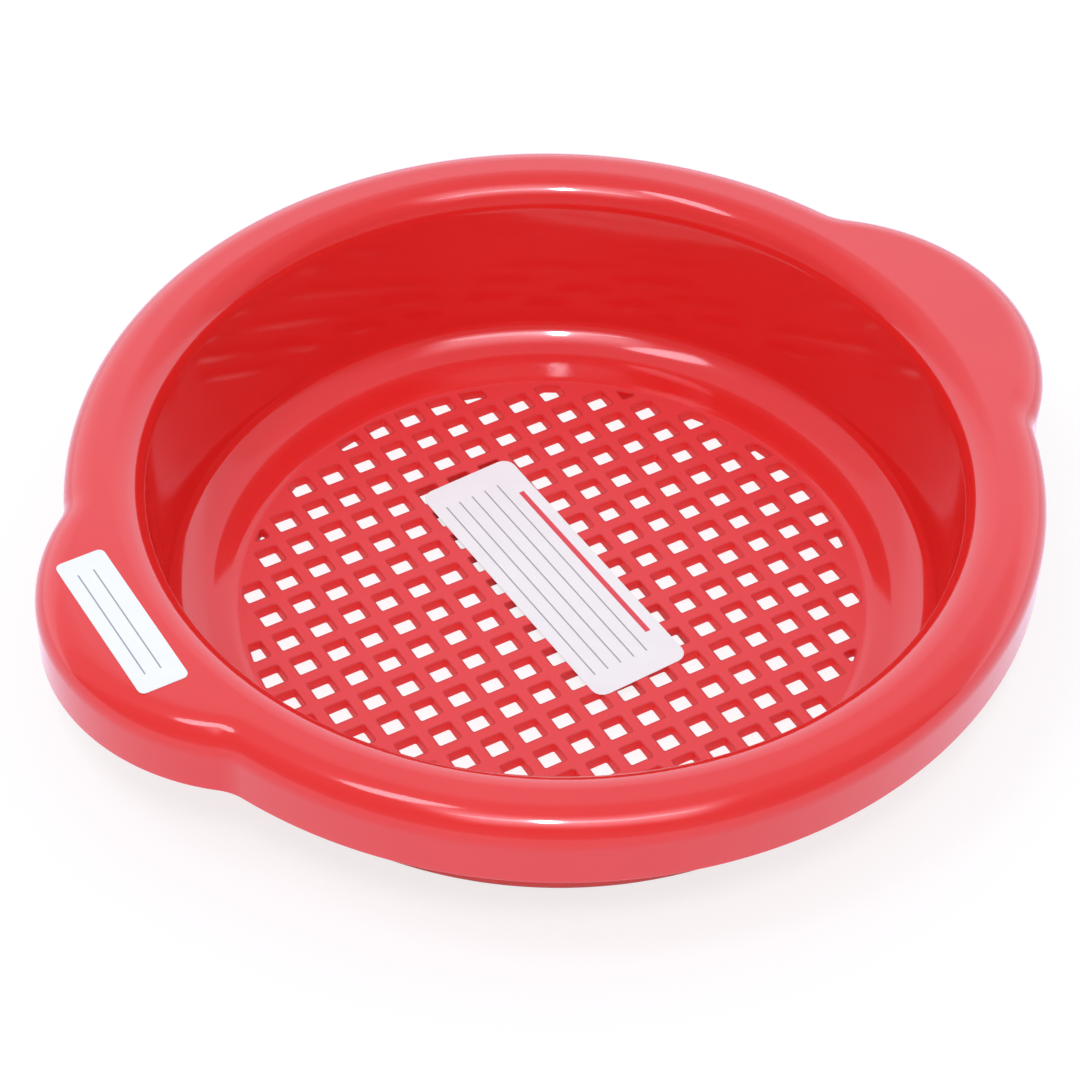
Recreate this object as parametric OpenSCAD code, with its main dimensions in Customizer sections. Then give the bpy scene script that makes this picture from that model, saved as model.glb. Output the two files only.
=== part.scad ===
// Sand sieve for outdoor play: a shallow round bowl with a square-holed floor, a broad
// turned-down rim and two ear-shaped handles, moulded in one piece, with two stickers on it.
// X runs through the handles, Y runs across, Z is up. The origin is the middle of the flat base.
// The moulding is drawn as touching pieces: floor grille, bowl, two arcs of rim, two handles.

/* [Grille] */
// Distance from hole to hole, both ways
hole_pitch = 7; // [6:0.1:8]
// Width of one square hole
hole_w = 4.4; // [3:0.1:5]
// Diameter of the round field that the holes fill
field_d = 116.8; // [105:0.2:125]
// Least reach of a hole into the field; smaller slivers at its edge aren't cut
least_cut = 1.8; // [1:0.1:3]
// Thickness of the grille
grille_t = 2.2; // [1.6:0.1:3]
// Plain border round the field, inside the step
field_border = 1.1; // [0.4:0.1:2]
// Step down from the plain floor to the grille
floor_step = 0.2; // [0.1:0.1:0.5]

/* [Bowl] */
// Width of the plain flat floor, from the field of holes to the cove
floor_flat_w = 5.7; // [3:0.1:8]
// Rounding in which the floor turns up, as far as the slope
cove_r = 10; // [7:0.1:13]
// Steepness of the short slope round the floor, in degrees
slope_turn = 40; // [30:0.5:55]
// Width of that slope, between its two roundings
slope_w = 0.5; // [0.2:0.1:3]
// Rounding between the slope and the wall
bend_r = 3.8; // [2:0.1:6]
// Lean of the wall, in degrees from upright
wall_lean = 5.6; // [2:0.1:14]
// Thickness of the wall, rim and skirt
wall_t = 2.2; // [1.6:0.1:2.8]

/* [Rim] */
// Height from the base to the flat top of the rim
total_h = 39.4; // [34:0.2:46]
// Rounding of the mouth, where the wall turns out into the rim
lip_r = 6.2; // [4:0.1:8]
// Width of the flat top between the two roundings
rim_flat_w = 2.9; // [2:0.1:8]
// Rounding of the outer edge
edge_r = 5.8; // [3.4:0.1:7]
// Depth of the turned-down skirt, from the top of the rim
skirt_h = 14.1; // [9:0.1:22]

/* [Handles] */
// How far an ear stands out past the round rim
ear_out = 10.5; // [7:0.1:16]
// Radius of an ear, seen from above
ear_r = 41; // [34:0.5:48]
// Radius of the hollow where an ear runs into the round rim
notch_r = 10; // [6:0.5:16]

/* [Stickers] */
// Thickness of a sticker
sticker_t = 0.2; // [0.1:0.05:0.3]
// Length of the sticker on the floor
floor_label_l = 62.6; // [50:0.2:70]
// Width of the sticker on the floor
floor_label_w = 20.2; // [14:0.2:24]
// Corner radius of the sticker on the floor
floor_label_r = 2.4; // [1:0.1:4]
// Turn of the sticker on the floor, in degrees
floor_label_turn = 2.8; // [-10:0.1:10]
// Length of the sticker on the left handle
ear_label_l = 35; // [26:0.2:38]
// Width of the sticker on the left handle
ear_label_w = 9.3; // [7:0.1:10]
// Corner radius of the sticker on the left handle
ear_label_r = 1.2; // [0.6:0.1:2]
// Distance from the sticker to the start of the ear's rounded edge
ear_label_gap = 2.5; // [1:0.1:4]

/* [Hidden] */
$fn = 144;

// The stickers were put on by hand: their middles lie a little off the sieve's own middle lines
floor_label_x = 2.5;
floor_label_y = 4.4;
ear_label_y = 0.3;
// One overrun for every cut
cut_over = 1;
// How far the hollow beside an ear bites into the faces that it runs into
notch_bite = 0.004;
// Small turns, in degrees, by which pieces of a handle run past or stop short of each other
ear_past = 3;
tuck = 1;
// Straight steps that stand for each hidden arc inside a handle
chords = 12;

plastic = [0.86, 0.15, 0.16];
paper = [0.95, 0.95, 0.94];

field_r = field_d / 2;
seat_r = field_r + field_border;
floor_t = grille_t + floor_step;
hole_span = ceil(field_r / hole_pitch);
// How far the hole at (x, y) reaches into the field, by its inner corner
function hole_reach(x, y) = field_r - norm([abs(x) - hole_w / 2, abs(y) - hole_w / 2]);

// The cove starts where the flat floor ends, and its centre stands over that line
cove_x = field_r + floor_flat_w;
// The bend's centre, from the cove's: out and down by these
bend_out = (cove_r - bend_r) * sin(slope_turn) + slope_w * cos(slope_turn);
bend_down = (cove_r - bend_r) * cos(slope_turn) - slope_w * sin(slope_turn);
bend_x = cove_x + bend_out;
bend_z = floor_t + cove_r - bend_down;
// Half width of the bowl at height z, at a distance d outside the wall's inner face
function wall_x(z, d) = bend_x + (z - bend_z) * tan(wall_lean) + (bend_r + d) / cos(wall_lean);

// The bowl ends and the rim begins at the level of the mouth rounding's centre
mouth_z = total_h - lip_r;
lip_x = wall_x(mouth_z, lip_r);
rim_r = lip_x + rim_flat_w + edge_r;
edge_z = total_h - edge_r;
skirt_z = total_h - skirt_h;
// The pieces of a handle lap over each other by a quarter of the flat top
plate_lap = rim_flat_w / 4;

// Centres of the arcs that make the outline, seen from above: ear on the X axis, hollow beside it
ear_x = rim_r + ear_out - ear_r;
notch_x = (pow(rim_r + notch_r, 2) - pow(ear_r + notch_r, 2) + pow(ear_x, 2)) / (2 * ear_x);
notch_y = sqrt(pow(rim_r + notch_r, 2) - pow(notch_x, 2));
// Directions of the hollow's centre, from the middle of the sieve and from the ear's centre
rim_turn = atan2(notch_y, notch_x);
ear_turn = atan2(notch_y, notch_x - ear_x);

// What a rounding of radius r about c takes off a corner, between the directions where the arc
// meets the two straight sides
module corner_cut(c, r, from_turn, to_turn) {
    mid = (from_turn + to_turn) / 2;
    tip = 2 * r / cos((to_turn - from_turn) / 2);
    difference() {
        polygon([
            c,
            c + r * [cos(from_turn), sin(from_turn)],
            c + tip * [cos(mid), sin(mid)],
            c + r * [cos(to_turn), sin(to_turn)]
        ]);
        translate(c) circle(r);
    }
}

// Upright cut through a filled bowl: base at z0, skin at distance d outside the inner face. The
// base turns up into the slope by the cove, and the slope into the wall by the bend.
module bowl_fill(x0, z0, d, top) {
    bend_c = [wall_x(z0 + cove_r + d - bend_down, -bend_r), z0 + cove_r + d - bend_down];
    cove_c = bend_c + [-bend_out, bend_down];
    head_mid = (slope_turn - 90 - wall_lean) / 2;
    head_reach = (bend_r + d) / cos((90 - slope_turn - wall_lean) / 2);
    slope_foot = [cove_c[0] + (cove_r + d) * tan(slope_turn / 2), z0];
    slope_head = bend_c + head_reach * [cos(head_mid), sin(head_mid)];
    difference() {
        polygon([[x0, z0], slope_foot, slope_head, [wall_x(top, d), top], [x0, top]]);
        corner_cut(cove_c, cove_r + d, -90, slope_turn - 90);
        corner_cut(bend_c, bend_r + d, slope_turn - 90, -wall_lean);
    }
}

module bowl_section() {
    difference() {
        bowl_fill(seat_r, 0, wall_t, mouth_z);
        bowl_fill(seat_r - cut_over, floor_t, 0, mouth_z + cut_over);
    }
}

// Upright cut through the rim, filled below the surface that lies d inside its skin. Its lower
// ends, at the wall and at the skirt, are lowered by over where it serves as the cut.
module rim_fill(d, over) {
    top = total_h - d;
    wall_end = mouth_z - over;
    difference() {
        polygon([
            [wall_x(wall_end, d), wall_end],
            [wall_x(top, d), top],
            [rim_r - d, top],
            [rim_r - d, skirt_z - over],
            [lip_x - over, skirt_z - over],
            [lip_x - over, wall_end]
        ]);
        corner_cut([lip_x, mouth_z], lip_r - d, 90, 180 - wall_lean);
        corner_cut([rim_r - edge_r, edge_z], edge_r - d, 0, 90);
    }
}

module rim_arc() {
    rotate_extrude(start = rim_turn, angle = 180 - 2 * rim_turn)
        difference() {
            rim_fill(0, 0);
            rim_fill(wall_t, cut_over);
        }
}

// The round rim's share of a handle, between the two arcs of rim
module handle_root_fill(d, over, past) {
    rotate_extrude(start = -rim_turn - past, angle = 2 * (rim_turn + past)) rim_fill(d, over);
}

// Outer part of an ear, a band along its arc; it runs a little past the arc's two ends, where
// the hollows' pieces hold it
module ear_fill(d, over) {
    band = edge_r + 2 * plate_lap;
    low = skirt_z - over;
    translate([ear_x, 0, 0])
        rotate_extrude(start = -ear_turn - ear_past, angle = 2 * (ear_turn + ear_past))
            difference() {
                translate([ear_r - band, low]) square([band - d, total_h - d - low]);
                corner_cut([ear_r - edge_r, edge_z], edge_r - d, 0, 90);
            }
}

// Middle of a handle, between the mouth, the ear's band and the two hollows
module handle_middle_fill(d, over) {
    mouth_side = [for (i = [0 : chords]) let (a = (rim_turn - tuck) * (1 - 2 * i / chords))
        (lip_x + plate_lap) * [cos(a), sin(a)]];
    ear_side = [for (i = [0 : chords]) let (a = ear_turn * (2 * i / chords - 1))
        [ear_x, 0] + (ear_r - edge_r - plate_lap) * [cos(a), sin(a)]];
    hollow_r = notch_r + edge_r + plate_lap;
    hollow_turns = [for (i = [0 : chords]) rim_turn + tuck + (ear_turn - rim_turn - tuck) * i / chords];
    near_hollow = [for (a = hollow_turns) [notch_x - hollow_r * cos(a), hollow_r * sin(a) - notch_y]];
    far_hollow = [for (i = [chords : -1 : 0]) [near_hollow[i][0], -near_hollow[i][1]]];
    translate([0, 0, skirt_z - over])
        linear_extrude(total_h - d - skirt_z + over)
            polygon(concat(mouth_side, near_hollow, ear_side, far_hollow));
}

// The corner between round rim and ear, hollowed by an arc that both run into
module notch_fill(d, over) {
    reach_in = notch_r + edge_r + 2 * plate_lap;
    // The hollow bites a hair into rim and ear, so that their faces cross cleanly
    hollow_r = notch_r + notch_bite;
    turns = [rim_turn + tuck, ear_turn];
    difference() {
        translate([notch_x, notch_y, skirt_z - over])
            linear_extrude(total_h - d - skirt_z + over)
                polygon(concat([[0, 0]], [for (a = turns) -reach_in * [cos(a), sin(a)]]));
        translate([notch_x, notch_y, 0])
            rotate_extrude()
                difference() {
                    polygon([
                        [0, skirt_z - over - cut_over],
                        [hollow_r + d, skirt_z - over - cut_over],
                        [hollow_r + d, edge_z],
                        [hollow_r + edge_r, edge_z],
                        [hollow_r + edge_r, total_h + cut_over],
                        [0, total_h + cut_over]
                    ]);
                    translate([hollow_r + edge_r, edge_z]) circle(edge_r - d);
                }
    }
}

module handle_fill(d, over, past) {
    handle_root_fill(d, over, past);
    ear_fill(d, over);
    handle_middle_fill(d, over);
    notch_fill(d, over);
    mirror([0, 1, 0]) notch_fill(d, over);
}

module handle() {
    difference() {
        handle_fill(0, 0, 0);
        handle_fill(wall_t, cut_over, tuck);
    }
}

module sticker(l, w, r) {
    linear_extrude(sticker_t)
        union() {
            square([w - 2 * r, l], center = true);
            square([w, l - 2 * r], center = true);
            for (x = [-1, 1], y = [-1, 1])
                translate([x * (w / 2 - r), y * (l / 2 - r)]) circle(r);
        }
}

module grille() {
    color(plastic)
        linear_extrude(grille_t)
            difference() {
                circle(seat_r);
                intersection() {
                    circle(field_r);
                    for (i = [-hole_span : hole_span], j = [-hole_span : hole_span])
                        if (hole_reach(i * hole_pitch, j * hole_pitch) > least_cut)
                            translate([i * hole_pitch, j * hole_pitch]) square(hole_w, center = true);
                }
            }
}

module bowl() {
    color(plastic) rotate_extrude() bowl_section();
}

module rim_back() {
    color(plastic) rim_arc();
}

module rim_front() {
    color(plastic) rotate([0, 0, 180]) rim_arc();
}

module handle_right() {
    color(plastic) handle();
}

module handle_left() {
    color(plastic) rotate([0, 0, 180]) handle();
}

module floor_label() {
    color(paper)
        translate([floor_label_x, floor_label_y, grille_t])
            rotate([0, 0, floor_label_turn])
                sticker(floor_label_l, floor_label_w, floor_label_r);
}

module ear_label() {
    ear_flat_end = rim_r + ear_out - edge_r;
    color(paper)
        translate([-(ear_flat_end - ear_label_gap - ear_label_w / 2), ear_label_y, total_h])
            sticker(ear_label_l, ear_label_w, ear_label_r);
}

grille();
bowl();
rim_front();
rim_back();
handle_left();
handle_right();
floor_label();
ear_label();
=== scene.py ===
# %% [markdown]
# # A red sand sieve
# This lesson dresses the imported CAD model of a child's sand sieve: one glossy injection moulding
# with a square-holed floor, a steep wall, a rolled rim and two ear-shaped handles, and two white
# labels. The frame is the CAD's own, in metres, with X through the handles and Z up, so every
# piece is built where the CAD solids are and nothing has to be fitted by eye.

# %% Load the frame
from math import atan2, cos, hypot, pi, radians, sin, sqrt, tan

import bpy
import numpy as np
from mathutils import Matrix, Vector
from mathutils.geometry import delaunay_2d_cdt


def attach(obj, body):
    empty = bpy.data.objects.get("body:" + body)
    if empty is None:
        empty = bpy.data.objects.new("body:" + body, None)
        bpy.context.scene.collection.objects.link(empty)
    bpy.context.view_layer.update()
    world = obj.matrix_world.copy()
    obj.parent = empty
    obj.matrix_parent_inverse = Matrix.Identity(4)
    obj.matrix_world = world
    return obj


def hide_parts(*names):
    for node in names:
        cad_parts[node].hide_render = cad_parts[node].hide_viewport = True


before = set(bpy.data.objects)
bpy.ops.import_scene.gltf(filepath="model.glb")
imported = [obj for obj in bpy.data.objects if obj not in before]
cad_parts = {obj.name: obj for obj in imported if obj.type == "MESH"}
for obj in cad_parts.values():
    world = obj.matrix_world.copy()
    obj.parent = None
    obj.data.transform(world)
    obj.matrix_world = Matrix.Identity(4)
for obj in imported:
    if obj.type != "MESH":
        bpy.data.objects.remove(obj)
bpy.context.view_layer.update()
scene = bpy.context.scene
print("CAD nodes:", ", ".join(sorted(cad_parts)))

# %% [markdown]
# ## Sizes
# The real sieve is described by a handful of lengths in millimetres, the same as the CAD's: the
# hole pitch, the thickness, and the roundings of its profile. Everything else follows from them,
# so the dressed piece can't drift away from the solids. MM turns millimetres into metres.

# %% Sizes of the floor
MM = 0.001
hole_pitch = 7.0    # from the middle of a hole to the next
hole_w = 4.4        # side of a square hole
field_r = 58.4      # radius of the round field that cuts the outer holes
least_cut = 1.8     # a cut hole is left out unless it reaches this far into the field
seat_r = 59.5       # radius of the faint step round the grille
grille_z = 2.2      # top of the grille
floor_z = 2.4       # top of the plain border round it
skin = 2.2          # thickness of the moulding
print("grille", 2 * field_r, "mm across")

# %% Sizes of the wall and rim
top_z = 39.4                                    # flat top of the rim
cove_x, cove_r = 64.1, 10.0                     # where the floor turns up, and its rounding
slope_turn, slope_w = radians(40), 0.5          # the short slope above the cove
bend_r, wall_lean = 3.8, radians(5.6)           # the bend into the wall, and the wall's lean
lip_r, rim_flat_w, edge_r = 6.2, 2.9, 5.8       # rounded mouth, flat top, rounded outer edge
skirt_h, foot_r = 14.1, 0.5                     # from the top down to the skirt's rounded foot
ear_out, ear_r, notch_r = 10.5, 41.0, 10.0      # an ear's reach, its outline, the hollow beside it
print("rim", top_z, "mm high, skirt", skirt_h, "mm deep")

# %% Places that follow
bend_x = cove_x + (cove_r - bend_r) * sin(slope_turn) + slope_w * cos(slope_turn)
bend_z = floor_z + cove_r - (cove_r - bend_r) * cos(slope_turn) + slope_w * sin(slope_turn)
lip_z = top_z - lip_r
lip_x = bend_x + (lip_z - bend_z) * tan(wall_lean) + (bend_r + lip_r) / cos(wall_lean)
rim_r = lip_x + rim_flat_w + edge_r
edge_z, skirt_z = top_z - edge_r, top_z - skirt_h
ear_x = rim_r + ear_out - ear_r
notch_x = ((rim_r + notch_r) ** 2 - (ear_r + notch_r) ** 2 + ear_x ** 2) / (2 * ear_x)
notch_y = sqrt((rim_r + notch_r) ** 2 - notch_x ** 2)
print(f"rim {2 * rim_r:.1f} mm across, {2 * (ear_x + ear_r):.1f} mm over the handles")

# %% [markdown]
# ## Outline
# Seen from above, the skirt runs round the rim, a small hollow, an ear, a hollow, and so on. It
# could be drawn as a curve and bevelled, but a list of samples that each know their place and
# their outward direction is simpler here: any rounding of the edge is then an offset of it.

# %% Outline samples
rim_turn = atan2(notch_y, notch_x)
ear_turn = atan2(notch_y, notch_x - ear_x)

def arc_samples(center, r, start, end, count, side=1):
    """Samples (x, y, outward x, outward y) on an arc, without its last point."""
    turns = np.linspace(start, end, count, endpoint=False)
    outward = np.stack([np.cos(turns), np.sin(turns)], 1)
    return np.hstack([np.array(center) + side * r * outward, outward])

quarter = np.vstack([
    arc_samples((ear_x, 0), ear_r, 0, ear_turn, 60),
    arc_samples((notch_x, notch_y), notch_r, ear_turn, rim_turn, 14, side=-1),
    arc_samples((0, 0), rim_r, rim_turn, pi / 2, 90),
])
quarter_end = np.array([[0, rim_r, 0, 1]])
half = np.vstack([quarter, quarter_end, (quarter * [-1, 1, -1, 1])[:0:-1]])
outline = np.vstack([half, -half])
spoke_turn = np.arctan2(outline[:, 1], outline[:, 0])
spoke = np.stack([np.cos(spoke_turn), np.sin(spoke_turn)], 1)
print("samples round the outline:", len(outline))

# %% [markdown]
# ## Profile
# The wall of the moulding is turned like a bowl from the grille to the mouth, and follows the
# outline from the edge to the skirt. Both parts are lists of (place, height) steps. A straight
# stretch gets one extra step close to each rounding, so that smooth shading stays flat on it.

# %% Steps of a profile
hold = 0.25

def sweep(cx, cz, r, start, end, count):
    """(x, z) steps on an arc of the profile; angles turn from straight up towards outside."""
    return [(cx + r * sin(t), cz + r * cos(t)) for t in np.linspace(start, end, count)]

def ahead(point, turn, length=hold):
    """The step that lies length further along a straight stretch; turn is its slope."""
    return (point[0] + length * cos(turn), point[1] + length * sin(turn))

def soft_step(t):
    """A soft rise from 0 to 1 while t goes from 0 to 1."""
    t = np.clip(t, 0, 1)
    return t * t * (3 - 2 * t)

print("extra step:", hold, "mm from each rounding")

# %% [markdown]
# The grille lies a hair below the border round it. On the real moulding that is the mark of a
# mould insert, and its edge is soft. So the step is a ramp. It starts just outside the ring of
# holes, because the plate between the holes is filled flat up to it.

# %% Inner profile, from the ramp to the mouth
ramp_in, ramp_w = 0.7, 2.2
ramp_shares = np.linspace(0, 1, 7)
ramp_rise = floor_z - grille_z
ramp = [(seat_r - ramp_in + ramp_w * t, grille_z + ramp_rise * soft_step(t)) for t in ramp_shares]
ramp = [ahead(ramp[0], 0, -hold / 2)] + ramp + [ahead(ramp[-1], 0)]
wall_turn = pi / 2 - wall_lean
cove = sweep(cove_x, floor_z + cove_r, cove_r, pi, pi - slope_turn, 22)
bend = sweep(bend_x, bend_z, bend_r, pi - slope_turn, pi - wall_turn, 14)
lip = sweep(lip_x, lip_z, lip_r, -wall_turn, 0, 24)
inner = ramp + [ahead(cove[0], 0, -hold)] + cove
inner += bend + [ahead(bend[-1], wall_turn), ahead(lip[0], wall_turn, -hold)] + lip
inner += [ahead(lip[-1], 0)]
print("inner steps:", len(inner))

# %% [markdown]
# From the flat top outwards, each step is an inset from the outline: over the edge, down the
# skirt, round its foot and up again on the hollow side, one thickness further in.

# %% Outer profile and the hollow side
edge = [(-x, z) for x, z in sweep(-edge_r, edge_z, edge_r, 0, pi / 2, 22)]
foot = [(-x, z) for x, z in sweep(-foot_r, skirt_z + foot_r, foot_r, pi / 2, pi, 6)]
heel = [(-x, z) for x, z in sweep(foot_r - skin, skirt_z + foot_r, foot_r, pi, 1.5 * pi, 6)]
inside_edge = [(-x, z) for x, z in sweep(-edge_r, edge_z, edge_r - skin, pi / 2, 0, 14)]
outer = [(edge_r + hold, top_z)] + edge + [(0, edge_z - hold), (0, skirt_z + foot_r + hold)]
outer += foot + heel + [(skin, skirt_z + foot_r + hold), (skin, edge_z - hold)] + inside_edge
outer += [(edge_r + hold, top_z - skin)]
print("outer steps:", len(outer))

# %% Underside of the bowl, from the rim back to the flat base
base_bend_z = bend_z + grille_z - floor_z
base_bend_x = bend_x - (floor_z - grille_z) * tan(wall_lean)
base_cove_x = base_bend_x - (bend_x - cove_x)
low_lip = sweep(lip_x, lip_z, lip_r - skin, 0, -wall_turn, 16)
low_bend = sweep(base_bend_x, base_bend_z, bend_r + skin, pi - wall_turn, pi - slope_turn, 12)
low_cove = sweep(base_cove_x, cove_r + skin, cove_r + skin, pi - slope_turn, pi, 16)
under = [ahead(low_lip[0], 0)] + low_lip + [ahead(low_lip[-1], wall_turn, -hold)]
under += [ahead(low_bend[0], wall_turn)] + low_bend + low_cove
under += [ahead(low_cove[-1], 0, -hold), (seat_r, 0)]
print("underside steps:", len(under))

# %% [markdown]
# ## Building the shell
# A small builder keeps the points and faces while the rings are laid. Neighbouring rings are
# joined by four-sided faces, so the whole moulding comes out as one closed skin.

# %% Mesh builder
class Shell:
    """Points in millimetres and faces of one mesh, laid ring by ring."""
    def __init__(self):
        self.rows, self.faces, self.count = [], [], 0

    def add(self, xy, z):
        """Lays a ring of points at one height and returns their numbers."""
        points = np.hstack([xy, np.full((len(xy), 1), z)])
        self.rows.append(points)
        self.count += len(points)
        return np.arange(self.count - len(points), self.count)

    def points(self):
        """All points laid so far."""
        return np.vstack(self.rows)

    def join(self, ring, following):
        """Joins two rings that have the same number of points."""
        loops = zip(ring, following, np.roll(following, -1), np.roll(ring, -1))
        self.faces += [tuple(int(i) for i in quad) for quad in loops]

# %% Rings of the bowl, rim and handles
shell = Shell()
rings = [shell.add(spoke * x, z) for x, z in inner]
rings += [shell.add(outline[:, :2] - inset * outline[:, 2:], z) for inset, z in outer]
rings += [shell.add(spoke * x, z) for x, z in under]
for ring, following in zip(rings[:-1], rings[1:]):
    shell.join(ring, following)
print("shell faces:", len(shell.faces))

# %% [markdown]
# ## Holes of the grille
# Each hole is a square, cut by the round field where it meets it. Corners of moulded holes are
# never sharp. A hole is therefore kept as its core, shrunk by the corner radius: growing the core
# back by any amount gives round corners and a matching outline at every level of the hole.

# %% Squares cut by the field
corner_r, on_circle = 0.35, 1e-6
core_half, core_field = hole_w / 2 - corner_r, field_r - corner_r
corner_signs = ((-1, -1), (1, -1), (1, 1), (-1, 1))

def crossings(p, q, r):
    """Where the stretch from p to q crosses the circle r about the middle."""
    d = q - p
    a, b, c = d @ d, 2 * p @ d, p @ p - r * r
    root = b * b - 4 * a * c
    if root <= 0:
        return []
    shares = [(-b - sqrt(root)) / (2 * a), (-b + sqrt(root)) / (2 * a)]
    return [p + t * d for t in shares if 0 < t < 1]

def along_field(p, q):
    """Three places between p and q on the core's field circle."""
    start, end = atan2(p[1], p[0]), atan2(q[1], q[0])
    turn = (end - start + pi) % (2 * pi) - pi
    turns = [start + turn * k / 4 for k in (1, 2, 3)]
    return [core_field * np.array([cos(t), sin(t)]) for t in turns]

# %% Hole cores
def hole_core(x, y):
    """Corners of a square core about (x, y), clipped by the round field."""
    square = [np.array([x + core_half * u, y + core_half * v]) for u, v in corner_signs]
    if all(hypot(*p) <= core_field for p in square):
        return square
    clipped = []
    for p, q in zip(square, square[1:] + square[:1]):
        clipped += [p] if hypot(*p) <= core_field else []
        clipped += crossings(p, q, core_field)
    core = []
    for p, q in zip(clipped, clipped[1:] + clipped[:1]):
        core.append(p)
        both_on = min(hypot(*p), hypot(*q)) > core_field - on_circle
        if both_on and hypot(*(p - q)) > corner_r:
            core += along_field(p, q)
    return core

def reach(x, y):
    """How far the inner corner of the hole at (x, y) reaches into the round field."""
    return field_r - hypot(abs(x) - hole_w / 2, abs(y) - hole_w / 2)

span = int(field_r / hole_pitch) + 1
steps = range(-span, span + 1)
places = [(i * hole_pitch, j * hole_pitch) for i in steps for j in steps]
cores = [hole_core(x, y) for x, y in places if reach(x, y) > least_cut]
print("holes:", len(cores))

# %% [markdown]
# A hole's wall is straight down, with a small rounding at the top and half of it at the bottom,
# as a mould leaves it. Growing a core puts five points on each real corner, and one on each of
# the gentle turns where the round field cuts the square.

# %% Growing a core
brim_r, brim_flat, gentle_turn = 0.1, 0.12, 0.4

def grown(core, by):
    """The outline that lies by outside a core, with round corners."""
    loop = []
    for before, here, after in zip(core[-1:] + core[:-1], core, core[1:] + core[:1]):
        (from_x, from_y), (to_x, to_y) = here - before, after - here
        start = atan2(-from_x, from_y)
        turn = (atan2(-to_x, to_y) - start + pi) % (2 * pi) - pi
        shares = (0, 0.25, 0.5, 0.75, 1) if turn > gentle_turn else (0.5,)
        turns = [start + turn * share for share in shares]
        loop += [here + by * np.array([cos(t), sin(t)]) for t in turns]
    return np.array(loop)

# %% Hole walls
brim = [(brim_r * (1 - sin(t)), brim_r * (1 - cos(t))) for t in np.linspace(0, pi / 2, 5)]
levels = [(brim_r + brim_flat, 0)] + brim
hole_levels = [(grow, grille_z - drop) for grow, drop in levels]
hole_levels += [(grow / 2, drop / 2) for grow, drop in levels[::-1]]
top_loops, low_loops = [], []
for core in cores:
    loops = [shell.add(grown(core, corner_r + grow), z) for grow, z in hole_levels]
    for loop, following in zip(loops[:-1], loops[1:]):
        shell.join(loop, following)
    top_loops.append(loops[0])
    low_loops.append(loops[-1])
print("loops per hole:", len(hole_levels))

# %% [markdown]
# ## Filling the plate
# The webs between the holes are one flat face with many openings. Blender's constrained Delaunay
# filling turns the rings into triangles; the ones whose corners all belong to one hole lie in
# that hole and are left out.

# %% Flat filling
same_place = 1e-7

def flat_triangles(points, edges, kind):
    """Triangles over flat points, as numbers of the points; kind 0 fills all, 1 inside the edges."""
    flat = [Vector(point) for point in points]
    corners, _, triangles, origin, _, _ = delaunay_2d_cdt(flat, edges, [], kind, same_place)
    if len(corners) != len(flat):
        raise ValueError("the filling made points of its own")
    return [tuple(origin[v][0] for v in triangle) for triangle in triangles]

def fill_plate(border, loops, upward):
    """Fills the plate between its border and the loops of the holes."""
    rims = [border] + loops
    ids = np.concatenate(rims)
    owner = np.concatenate([np.full(len(rim), k) for k, rim in enumerate(rims)])
    edges, first = [], 0
    for rim in rims:
        edges += [(first + k, first + (k + 1) % len(rim)) for k in range(len(rim))]
        first += len(rim)
    for triangle in flat_triangles(shell.points()[ids][:, :2], edges, 0):
        owners = {int(owner[v]) for v in triangle}
        if len(owners) > 1 or owners == {0}:
            face = [int(ids[v]) for v in triangle]
            shell.faces.append(tuple(face if upward else face[::-1]))

fill_plate(rings[0], top_loops, True)
fill_plate(rings[-1], low_loops, False)
print("faces with the grille:", len(shell.faces))

# %% Moulding object
def add_mesh(name, points_mm, faces):
    """A smooth-shaded mesh object from points in millimetres."""
    mesh = bpy.data.meshes.new(name)
    mesh.from_pydata((np.asarray(points_mm) * MM).tolist(), [], faces)
    mesh.shade_smooth()
    piece = bpy.data.objects.new(name, mesh)
    scene.collection.objects.link(piece)
    return piece

moulding = add_mesh("moulding", shell.points(), shell.faces)
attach(moulding, "root")
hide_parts("grille", "bowl", "rim_front", "rim_back", "handle_left", "handle_right")
print("moulding:", len(moulding.data.vertices), "points")

# %% [markdown]
# ## Labels
# Two adhesive film labels, cut with round corners and pressed on by hand: one lies across the
# holes of the floor, one on the left handle. A thin box would do from afar, but real film dips a
# hair where nothing backs it and its edges never lie quite flat. So each label is a fine sheet
# of points whose height is worked out place by place, with an underside and a cut edge.

# %% Film sizes
film_t, film_gap = 0.11, 0.01                   # thickness of the film and of the glue under it
film_step, rim_step, rim_clear = 0.7, 1.2, 0.4  # spacing of the sheet's points
floor_film_w, floor_film_l, floor_film_corner = 20.2, 62.6, 2.4
floor_film_x, floor_film_y, floor_film_turn = 2.5, 4.4, radians(2.8)
ear_film_w, ear_film_l, ear_film_corner = 9.3, 35.0, 1.2
ear_film_gap, ear_film_y = 2.5, 0.3
ear_film_x = -(rim_r + ear_out - edge_r - ear_film_gap - ear_film_w / 2)
print("labels:", floor_film_l, "and", ear_film_l, "mm long")

# %% Points of a sheet
def with_steps(loop, longest):
    """The same loop with extra points wherever two neighbours lie far apart."""
    out = []
    for p, q in zip(loop, np.roll(loop, -1, 0)):
        count = max(1, int(np.ceil(hypot(*(q - p)) / longest)))
        out += [p + (q - p) * k / count for k in range(count)]
    return np.array(out)

def edge_distance(points, half_w, half_l, corner):
    """How far points of a label lie inside its round-cornered outline."""
    over_x = np.abs(points[:, 0]) - (half_w - corner)
    over_y = np.abs(points[:, 1]) - (half_l - corner)
    outside = np.hypot(np.maximum(over_x, 0), np.maximum(over_y, 0))
    return corner - outside - np.minimum(np.maximum(over_x, over_y), 0)

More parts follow.
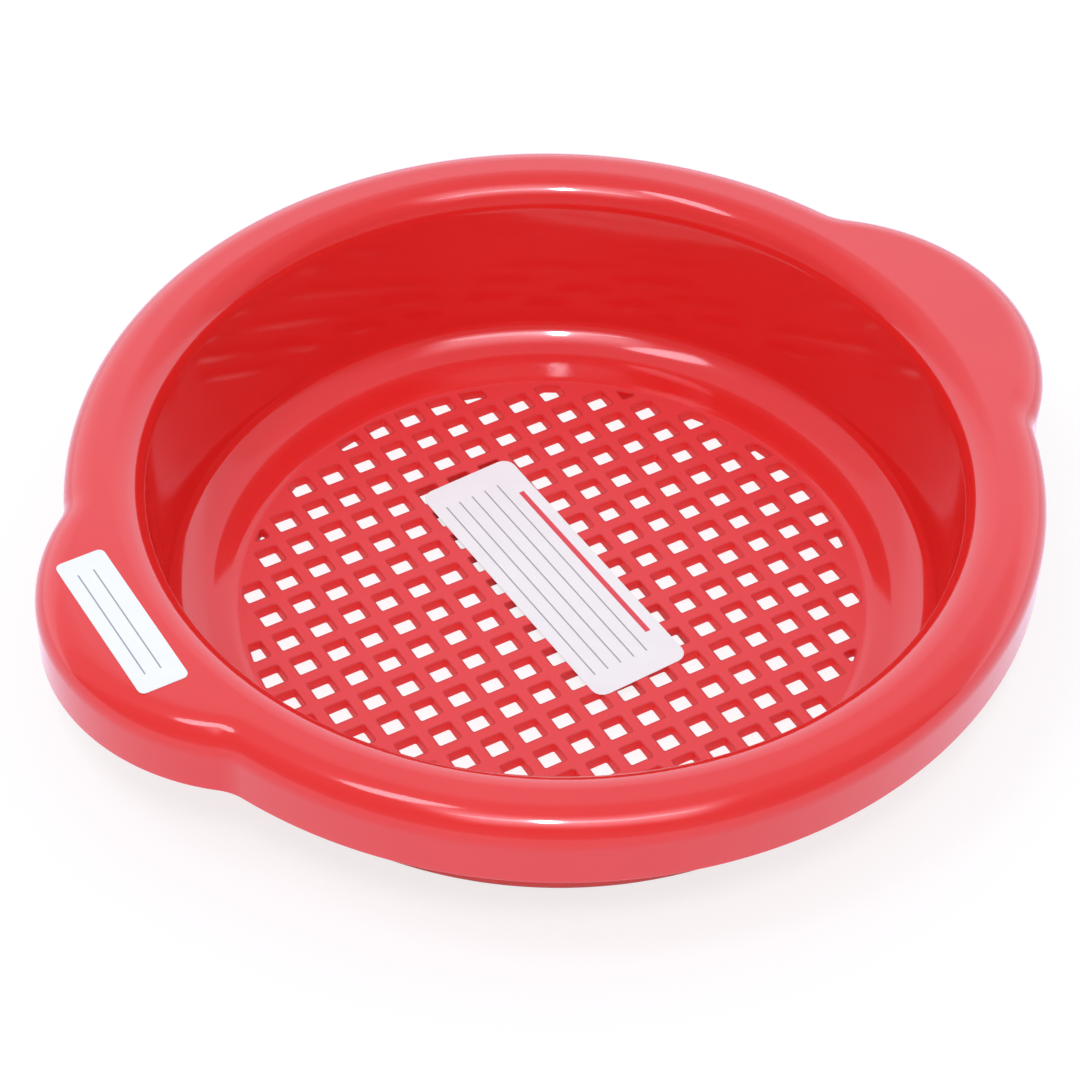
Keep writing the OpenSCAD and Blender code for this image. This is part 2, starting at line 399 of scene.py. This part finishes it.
def sheet_points(half_w, half_l, corner):
    """Flat points of a label, its rim first, and how many of them are the rim."""
    core = [np.array([u * (half_w - corner), v * (half_l - corner)]) for u, v in corner_signs]
    rim = with_steps(grown(core, corner), rim_step)
    columns = np.arange(-half_w + film_step, half_w - rim_clear, film_step)
    rows = np.arange(-half_l + film_step, half_l - rim_clear, film_step)
    grid = np.array([(x, y) for x in columns for y in rows])
    inside = grid[edge_distance(grid, half_w, half_l, corner) > rim_clear]
    return np.vstack([rim, inside]), len(rim)

# %% [markdown]
# Near its ends a label curls up a little at the corners, more at one end than at the other. Over
# a hole it dips, but not where it has already let go at its edge.

# %% Height of a sheet
curl_share, weak_end = 0.3, 0.1

def sheet_height(flat, half_w, half_l, corner, middle, turn, lift, dip):
    """How high each point of a label lies above its seat."""
    near_end = soft_step((np.abs(flat[:, 1]) / half_l - (1 - curl_share)) / curl_share)
    near_end = near_end * np.where(flat[:, 1] > 0, 1, weak_end)
    near_side = soft_step(1 - edge_distance(flat, half_w, half_l, corner) / (2 * corner))
    spin = np.array([[cos(turn), -sin(turn)], [sin(turn), cos(turn)]])
    over = (flat @ spin.T + np.array(middle[:2]) + hole_pitch / 2) % hole_pitch - hole_pitch / 2
    in_hole = soft_step(2 * np.clip(1 - np.abs(2 * over / hole_w), 0, 1))
    return lift * near_end * near_side - dip * in_hole[:, 0] * in_hole[:, 1] * (1 - near_side)

# %% Label mesh
cut_edge = radians(40)

def film_label(name, width, length, corner, middle, turn, lift, dip):
    """A label of film about a middle place, with lifted corners and a dip over each hole."""
    half_w, half_l = width / 2, length / 2
    flat, rim_n = sheet_points(half_w, half_l, corner)
    height = sheet_height(flat, half_w, half_l, corner, middle, turn, lift, dip)
    top = np.column_stack([flat, height + film_t])
    low = np.column_stack([flat, height])
    top_faces = flat_triangles(flat, [(k, (k + 1) % rim_n) for k in range(rim_n)], 1)
    n = len(flat)
    faces = top_faces + [tuple(v + n for v in face[::-1]) for face in top_faces]
    faces += [(k, k + n, (k + 1) % rim_n + n, (k + 1) % rim_n) for k in range(rim_n)]
    piece = add_mesh(name, np.vstack([top, low]), faces)
    piece.data.set_sharp_from_angle(angle=cut_edge)
    piece.location = Vector(middle) * MM
    piece.rotation_euler = (0, 0, turn)
    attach(piece, "root")
    return piece

# %% Floor and handle labels
floor_film = film_label("floor_film", floor_film_w, floor_film_l, floor_film_corner,
                        (floor_film_x, floor_film_y, grille_z + film_gap), floor_film_turn,
                        lift=0.16, dip=0.03)
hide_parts("floor_label")
ear_film = film_label("ear_film", ear_film_w, ear_film_l, ear_film_corner,
                      (ear_film_x, ear_film_y, top_z + film_gap), 0, lift=0.06, dip=0)
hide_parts("ear_label")
for piece in (floor_film, ear_film):
    print(piece.name, len(piece.data.vertices), "points")

# %% [markdown]
# ## Shared surface effects
# Moulded plastic and printed film are never perfectly even. The effects that the materials share
# are node groups, built once and placed with other values in each: a soft cloud of tone and a
# slow ripple of the surface. Fine scratches and ruled lines are groups too. A few helpers keep
# the building of nodes short.

# %% Node helpers
def add_node(tree, kind, inputs=None, **settings):
    """One node with its settings; an input may be a plain value or another node's output."""
    made = tree.nodes.new("ShaderNode" + kind)
    for key, value in settings.items():
        setattr(made, key, value)
    for key, value in (inputs or {}).items():
        if isinstance(value, bpy.types.NodeSocket):
            tree.links.new(value, made.inputs[key])
        else:
            made.inputs[key].default_value = value
    return made

def calc(tree, operation, *values):
    """The output of one sum; values may be numbers or outputs."""
    return add_node(tree, "Math", dict(enumerate(values)), operation=operation).outputs[0]

def along_axis(tree, direction, axis):
    """How far a direction points along an axis, from -1 to 1."""
    made = add_node(tree, "VectorMath", {0: direction, 1: axis}, operation="DOT_PRODUCT")
    return made.outputs["Value"]

def soft_range(tree, value, start, end, low=0.0, high=1.0):
    """A soft step from low to high as a value goes from start to end."""
    ends = {"Value": value, "From Min": start, "From Max": end, "To Min": low, "To Max": high}
    return add_node(tree, "MapRange", ends, interpolation_type="SMOOTHSTEP").outputs[0]

def colour_between(tree, factor, first, second):
    """A mix of two colours by a factor; each is a plain colour or another node's output."""
    first, second = [(*end, 1) if isinstance(end, tuple) else end for end in (first, second)]
    made = add_node(tree, "Mix", {0: factor, 6: first, 7: second}, data_type="RGBA")
    return made.outputs[2]

# %% Group helpers
def new_group(name, inputs, output):
    """A group with float inputs (name: default) and one float output."""
    tree = bpy.data.node_groups.new(name, "ShaderNodeTree")
    for label, default in inputs.items():
        socket = tree.interface.new_socket(label, in_out="INPUT", socket_type="NodeSocketFloat")
        socket.default_value = default
    tree.interface.new_socket(output, in_out="OUTPUT", socket_type="NodeSocketFloat")
    given = tree.nodes.new("NodeGroupInput").outputs
    result = tree.nodes.new("NodeGroupOutput").inputs[0]
    return tree, given, result

def use_group(tree, group, **values):
    """The output of a placed group, with its input values."""
    made = tree.nodes.new("ShaderNodeGroup")
    made.node_tree = group
    for key, value in values.items():
        made.inputs[key].default_value = value
    return made.outputs[0]

# %% Cloud and ripple groups
def noise_group(name, detail):
    """Noise centred on zero: Size is the patch in millimetres, Strength how much it swings."""
    tree, given, result = new_group(name, {"Size": 20.0, "Strength": 1.0}, "Value")
    place = add_node(tree, "TexCoord").outputs["Object"]
    per_metre = calc(tree, "DIVIDE", 1000.0, given["Size"])
    look = {"Vector": place, "Scale": per_metre, "Detail": detail, "Roughness": 0.5}
    noise = add_node(tree, "TexNoise", look)
    centred = calc(tree, "SUBTRACT", noise.outputs["Fac"], 0.5)
    tree.links.new(calc(tree, "MULTIPLY", centred, given["Strength"]), result)
    return tree

cloud = noise_group("tone_cloud", 4.0)
ripple = noise_group("surface_ripple", 1.0)
print("groups:", cloud.name, ripple.name)

# %% [markdown]
# Sand leaves hairline scratches in all directions. Each of three turned layers has long, slightly
# bent cells; a thin line through the middle of some of the cells is a scratch.

# %% Scratch group
scratch_turns = (0.3, 1.2, 2.4)
cells_per_metre = (55.0, 900.0, 900.0)
wander_scale, wander_reach = 40.0, (0.003, 0.003, 0.003)

scratches, given, result = new_group("fine_scratches", {"Width": 0.02, "Share": 0.3}, "Mask")
place = add_node(scratches, "TexCoord").outputs["Object"]
lines = []
for turn in scratch_turns:
    turned = add_node(scratches, "VectorRotate", {"Vector": place, "Angle": turn},
                      rotation_type="Z_AXIS").outputs[0]
    wander = add_node(scratches, "TexNoise", {"Vector": turned, "Scale": wander_scale, "Detail": 1.0})
    bent = add_node(scratches, "VectorMath", {0: wander.outputs["Color"], 1: wander_reach, 2: turned},
                    operation="MULTIPLY_ADD").outputs[0]
    drawn = add_node(scratches, "VectorMath", {0: bent, 1: cells_per_metre},
                     operation="MULTIPLY").outputs[0]
    cells = add_node(scratches, "TexVoronoi", {"Vector": drawn, "Scale": 1.0}).outputs
    line = calc(scratches, "LESS_THAN", cells["Distance"], given["Width"])
    chosen = calc(scratches, "LESS_THAN", cells["Color"], given["Share"])
    lines.append(calc(scratches, "MULTIPLY", line, chosen))
either = calc(scratches, "MAXIMUM", lines[0], lines[1])
scratches.links.new(calc(scratches, "MAXIMUM", either, lines[2]), result)
print("group:", scratches.name)

# %% [markdown]
# ## Red plastic
# The moulding is coloured right through, and a little light creeps inside it. On the grille the
# sides of the holes are painted a brighter, stronger red than the web tops. This painted light
# stands in for the light that comes through the thin webs. The tops are painted a paler, pinker red
# as a painted sheen. The mould was polished everywhere but on the grille: the webs are satin and the
# rest is glossy. One material does both, told apart by the place on the piece, because it is one
# pour of plastic.

# %% Plastic body
def new_material(name, **plain):
    """A material whose shader has the given plain values."""
    material = bpy.data.materials.new(name)
    material.use_nodes = True
    shader = material.node_tree.nodes["Principled BSDF"]
    for key, value in plain.items():
        shader.inputs[key.replace("_", " ")].default_value = value
    return material, material.node_tree, shader

plastic, tree, shader = new_material(
    "red_plastic", IOR=1.5, Coat_Roughness=0.25, Coat_IOR=1.5, Subsurface_Weight=0.15,
    Subsurface_Scale=0.002, Subsurface_Radius=(1.0, 0.12, 0.1))
deep_red, light_red = (0.735, 0.018, 0.016), (0.775, 0.025, 0.022)
tone = calc(tree, "ADD", use_group(tree, cloud, Size=35.0, Strength=1.6), 0.5)
body_red = colour_between(tree, tone, deep_red, light_red)
print("material:", plastic.name)

# %% Satin places, and the painted light in the grille's red
blend_w, height_spare = 0.3, 0.1
# painted light: the hole sides are painted a brighter red for light through the thin webs, and the
# web tops a pinker red as a painted sheen
painted_glow_side_red, painted_sheen_top_red = (0.88, 0.018, 0.016), (0.765, 0.042, 0.046)

place = add_node(tree, "TexCoord").outputs["Object"]
level = add_node(tree, "SeparateXYZ", {0: place}).outputs["Z"]
flat = add_node(tree, "VectorMath", {0: place, 1: (1, 1, 0)}, operation="MULTIPLY").outputs[0]
middle_r = add_node(tree, "VectorMath", {0: flat}, operation="LENGTH").outputs["Value"]
in_field = soft_range(tree, middle_r, (seat_r + blend_w) * MM, (seat_r - blend_w) * MM)
low_enough = calc(tree, "LESS_THAN", level, (floor_z + height_spare) * MM)
satin = calc(tree, "MULTIPLY", in_field, low_enough)
# the hole sides get the painted glow and the web tops get the painted sheen
painted_top_share = soft_range(tree, level, (grille_z - brim_r) * MM, grille_z * MM)
grille_painted_light_red = colour_between(tree, painted_top_share, painted_glow_side_red, painted_sheen_top_red)
tree.links.new(colour_between(tree, satin, body_red, grille_painted_light_red), shader.inputs["Base Color"])
print("satin inside", seat_r, "mm")

# %% [markdown]
# The gloss is the shader's own sharp reflection. Over it lies a thin, rougher coat: it gives each
# highlight the faint haze that handled plastic has, and is almost gone on the satin webs.

# %% Plastic gloss
polished, satin_rough, scuff_rough = 0.08, 0.45, 0.15
haze, haze_drop = 0.2, -0.15

scuff = use_group(tree, scratches, Width=0.05, Share=0.25)
gloss = add_node(tree, "MapRange", {"Value": satin, "To Min": polished, "To Max": satin_rough})
gloss = calc(tree, "ADD", gloss.outputs[0], use_group(tree, cloud, Size=9.0, Strength=0.04))
tree.links.new(calc(tree, "MULTIPLY_ADD", scuff, scuff_rough, gloss), shader.inputs["Roughness"])
tree.links.new(calc(tree, "MULTIPLY_ADD", satin, haze_drop, haze), shader.inputs["Coat Weight"])
print("roughness:", polished, "to", satin_rough)

# %% Plastic ripple
ripple_height, scratch_depth = 0.00002, -0.05

waves = use_group(tree, ripple, Size=11.0, Strength=1.0)
height = calc(tree, "ADD", waves, calc(tree, "MULTIPLY", scuff, scratch_depth))
bump = add_node(tree, "Bump", {"Height": height, "Strength": 1.0, "Distance": ripple_height})
tree.links.new(bump.outputs[0], shader.inputs["Normal"])
moulding.data.materials.append(plastic)
print("ripple:", ripple_height / MM, "mm high")

# %% [markdown]
# ## White film
# The labels are white polypropylene film with a light gloss. Their print is left plain: thin
# grey rules, as on a name label, beside one red stripe on the larger label. Print is only
# colour, so it lives in the material, in the label's own lengths from its middle.

# %% Ruled line group
rule_inputs = {"First": 0.0, "Pitch": 3.0, "Count": 4.0, "Width": 0.3, "Length": 40.0}

rules, given, result = new_group("ruled_lines", rule_inputs, "Mask")
place = add_node(rules, "TexCoord").outputs["Object"]
split = add_node(rules, "SeparateXYZ", {0: place}).outputs
across = calc(rules, "SUBTRACT", calc(rules, "MULTIPLY", split["X"], 1000.0), given["First"])
end_to_end = calc(rules, "MULTIPLY", calc(rules, "ABSOLUTE", split["Y"]), 2000.0)
nearest = calc(rules, "ROUND", calc(rules, "DIVIDE", across, given["Pitch"]))
last = calc(rules, "SUBTRACT", given["Count"], 1.0)
nearest = calc(rules, "MINIMUM", calc(rules, "MAXIMUM", nearest, 0.0), last)
line_at = calc(rules, "MULTIPLY", nearest, given["Pitch"])
off = calc(rules, "ABSOLUTE", calc(rules, "SUBTRACT", across, line_at))
on_line = calc(rules, "LESS_THAN", off, calc(rules, "MULTIPLY", given["Width"], 0.5))
long_enough = calc(rules, "LESS_THAN", end_to_end, given["Length"])
rules.links.new(calc(rules, "MULTIPLY", on_line, long_enough), result)
print("group:", rules.name)

# %% Film materials
film_shade, film_light = (0.84, 0.86, 0.86), (0.875, 0.895, 0.895)
grey_ink, red_ink = (0.3, 0.31, 0.33), (0.72, 0.03, 0.05)
film_rough, film_ripple = 0.38, 0.00001

def film_material(name, piece, lines, stripe=None):
    """White film with grey rules and perhaps a red stripe."""
    material, tree, shader = new_material(name, IOR=1.5, Coat_Weight=0.3, Coat_Roughness=0.12)
    tone = calc(tree, "ADD", use_group(tree, cloud, Size=7.0, Strength=2.0), 0.5)
    face = colour_between(tree, tone, film_shade, film_light)
    for ink, marks in ((grey_ink, lines), (red_ink, stripe)):
        if marks:
            face = colour_between(tree, use_group(tree, rules, **marks), face, ink)
    tree.links.new(face, shader.inputs["Base Color"])
    rough = calc(tree, "ADD", use_group(tree, cloud, Size=4.0, Strength=0.1), film_rough)
    tree.links.new(rough, shader.inputs["Roughness"])
    waves = use_group(tree, ripple, Size=3.0, Strength=1.0)
    bump = add_node(tree, "Bump", {"Height": waves, "Strength": 1.0, "Distance": film_ripple})
    tree.links.new(bump.outputs[0], shader.inputs["Normal"])
    piece.data.materials.append(material)
    print("material:", name)

film_material("floor_film", floor_film,
              lines=dict(First=-7.4, Pitch=2.9, Count=5.0, Width=0.28, Length=52.0),
              stripe=dict(First=7.2, Pitch=3.0, Count=1.0, Width=1.1, Length=44.0))
film_material("ear_film", ear_film,
              lines=dict(First=-1.9, Pitch=3.0, Count=2.0, Width=0.28, Length=27.0))

# %% [markdown]
# ## Camera
# The viewpoint was worked out from the lattice of holes, which is a perfect ruler: where the
# camera stood, which way it looked and how long its lens was. It is a long lens from above the
# near left, so the round mouth is seen as a clean oval.

# %% Camera
camera_place = Vector((-0.2468, -0.4025, 0.4912))
look_right = Vector((0.864224, -0.502802, 0.017572))
look_up = Vector((0.345860, 0.619107, 0.705047))
look_back = Vector((-0.365376, -0.603241, 0.708945))
camera = bpy.data.objects.new("camera", bpy.data.cameras.new("camera"))
turned = Matrix((look_right, look_up, look_back)).transposed().to_4x4()
camera.matrix_world = Matrix.Translation(camera_place) @ turned
camera.data.sensor_width, camera.data.lens = 36, 119.6
camera.data.clip_start, camera.data.clip_end = 0.01, 100
scene.collection.objects.link(camera)
scene.camera = camera
scene.view_settings.view_transform = "Standard"
print("camera at", [round(v, 3) for v in camera_place])

# %% [markdown]
# ## Table
# The sieve stands on a plain white table. It could be a wide bright plane lit until it is white,
# but that would wash out the sieve. So the table is an ordinary matt white for light, and only
# the camera sees it partly as plain white, which keeps a pale soft shadow under the rim. In the
# gloss of the plastic the open table round the sieve shows as an even, bright white.

# %% Table plane
away = Vector((-look_back.x, -look_back.y, 0)).normalized()
left = Vector((-away.y, away.x, 0))
table_half, table_drop = 5.0, 0.0001
table_mesh = bpy.data.meshes.new("table")
table_corners = [(u * table_half, v * table_half, 0) for u, v in corner_signs]
table_mesh.from_pydata(table_corners, [], [(0, 1, 2, 3)])
table = bpy.data.objects.new("table", table_mesh)
scene.collection.objects.link(table)
table.location.z = -table_drop
print("table:", 2 * table_half, "m")

# %% Table finish
white_share, white_light = 0.7, 1.08
shine_light, shine_tint = 1.25, (0.95, 0.96, 1.15, 1)
covered, open_from = 0.8 * rim_r * MM, 1.25 * rim_r * MM

matt, tree, shader = new_material("white_table", Roughness=0.85)
shader.inputs["Base Color"].default_value = (0.9, 0.9, 0.9, 1)
shader.inputs["Specular IOR Level"].default_value = 0.0
plain = add_node(tree, "Emission", {"Color": (1, 1, 1, 1), "Strength": white_light})
shine = add_node(tree, "Emission", {"Color": shine_tint, "Strength": shine_light})
place = add_node(tree, "TexCoord").outputs["Object"]
from_middle = add_node(tree, "VectorMath", {0: place}, operation="LENGTH").outputs["Value"]
open_table = soft_range(tree, from_middle, covered, open_from)
path = add_node(tree, "LightPath").outputs
for_camera = calc(tree, "MULTIPLY", path["Is Camera Ray"], white_share)
seen = add_node(tree, "MixShader", {0: for_camera, 1: shader.outputs[0], 2: plain.outputs[0]})
in_gloss = calc(tree, "MULTIPLY", path["Is Glossy Ray"], open_table)
mirrored = add_node(tree, "MixShader", {0: in_gloss, 1: seen.outputs[0], 2: shine.outputs[0]})
tree.links.new(mirrored.outputs[0], tree.nodes["Material Output"].inputs["Surface"])
table_mesh.materials.append(matt)
print("table finish:", matt.name)

# %% [markdown]
# ## Lamps
# A small lamp above and behind the camera makes the white sparks in the middle of the highlights,
# and a wide strip at the same height lights the same places softly. The third lamp, on the left,
# gives the lip and the cove their second highlight. They are all weak: most of the light comes
# from all round.

# %% Lamps
lamp_tint, lamp_away = (0.95, 1.0, 1.14), 1.6

def heading(azimuth, elevation):
    """The direction of a place in the studio; the azimuth turns left from straight away."""
    a, e = radians(azimuth), radians(elevation)
    return away * (cos(a) * cos(e)) + left * (sin(a) * cos(e)) + Vector((0, 0, sin(e)))

def lamp(name, azimuth, elevation, wide, tall, power):
    """An oval soft lamp aimed at the sieve."""
    data = bpy.data.lights.new(name, "AREA")
    data.shape, data.size, data.size_y, data.energy = "ELLIPSE", wide, tall, power
    data.color = lamp_tint
    made = bpy.data.objects.new(name, data)
    made.location = heading(azimuth, elevation) * lamp_away
    made.rotation_euler = heading(azimuth, elevation).to_track_quat("Z", "Y").to_euler()
    scene.collection.objects.link(made)

lamp("camera_lamp", 180, 57.8, wide=0.1, tall=0.28, power=4.8)
lamp("strip_lamp", 188, 57.8, wide=1.1, tall=0.17, power=2.0)
lamp("left_lamp", 129, 66, wide=0.3, tall=0.6, power=3.2)
print("lamps:", lamp_away, "m from the sieve")

# %% [markdown]
# ## Studio
# Glossy plastic shows what stands round it. The photograph's reflections tell that it was a
# bright backdrop behind the sieve, a duller ceiling and a dim room behind the camera. A ramp of
# brightness, from the far table over the top to the near table, is enough for that. Only glossy
# rays see it. All other light is one even soft grey, and the camera sees plain white.

# %% Directions in the studio
world = bpy.data.worlds.new("studio")
scene.world = world
world.use_nodes = True
tree = world.node_tree
tree.nodes.clear()
towards = add_node(tree, "TexCoord").outputs["Generated"]
forth = along_axis(tree, towards, away)
up = add_node(tree, "SeparateXYZ", {0: towards}).outputs["Z"]
turn_up = calc(tree, "ARCTAN2", up, forth)
print("world:", world.name)

# %% Brightness that the gloss mirrors
first_turn, last_turn, mirror_tint = -30, 180, (0.94, 0.96, 1.12)
bright_at = ((-30, 1.5), (20, 2.0), (42, 1.9), (50, 1.3), (61, 1.2), (66, 0.9), (95, 0.85),
             (125, 0.45), (150, 0.38), (178, 0.6))

ends = {"Value": turn_up, "From Min": radians(first_turn), "From Max": radians(last_turn)}
backdrop = add_node(tree, "ValToRGB", {0: add_node(tree, "MapRange", ends).outputs[0]})
backdrop.color_ramp.interpolation = "EASE"
bar = backdrop.color_ramp.elements
for k, (turn, bright) in enumerate(bright_at):
    share = (turn - first_turn) / (last_turn - first_turn)
    spot = bar[k] if k < 1 else bar.new(share)
    spot.position = share
    spot.color = (*(bright * part for part in mirror_tint), 1)
bar.remove(bar[len(bar) - 1])
path = add_node(tree, "LightPath").outputs
print("backdrop:", len(bar), "steps of brightness")

# %% [markdown]
# A lamp's own image in gloss is small and hard. The real one shone through a wide diffuser, which
# draws the long soft highlights along the lip, the cove and the front edge. So a glow in the same
# place as the strip lamp is laid over the backdrop, for glossy rays only.

# %% Diffuser and sky
box_turn, box_up = 188, 57.8
box_half, box_edge = 0.25, 0.42
glow_core, glow_end = 0.02, 0.4
box_light, all_round = (3.9, 4.0, 4.6), (0.71, 0.71, 0.72)

box_middle = heading(box_turn, box_up)
box_side = left * cos(radians(box_turn)) - away * sin(radians(box_turn))
aside = along_axis(tree, towards, box_side)
along = along_axis(tree, towards, box_middle.cross(box_side))
facing = along_axis(tree, towards, box_middle)
in_width = soft_range(tree, calc(tree, "ABSOLUTE", aside), box_edge, box_half)
in_height = soft_range(tree, calc(tree, "ABSOLUTE", along), glow_end, glow_core)
glow = calc(tree, "MULTIPLY", in_width, in_height)
glow = calc(tree, "MULTIPLY", glow, calc(tree, "GREATER_THAN", facing, 0.0))
mirrored = colour_between(tree, glow, backdrop.outputs[0], box_light)
soft = colour_between(tree, path["Is Glossy Ray"], all_round, mirrored)
shown = colour_between(tree, path["Is Camera Ray"], soft, (1, 1, 1))
sky = add_node(tree, "Background", {"Color": shown, "Strength": 1.0})
tree.links.new(sky.outputs[0], tree.nodes.new("ShaderNodeOutputWorld").inputs["Surface"])
print("studio nodes:", len(tree.nodes))
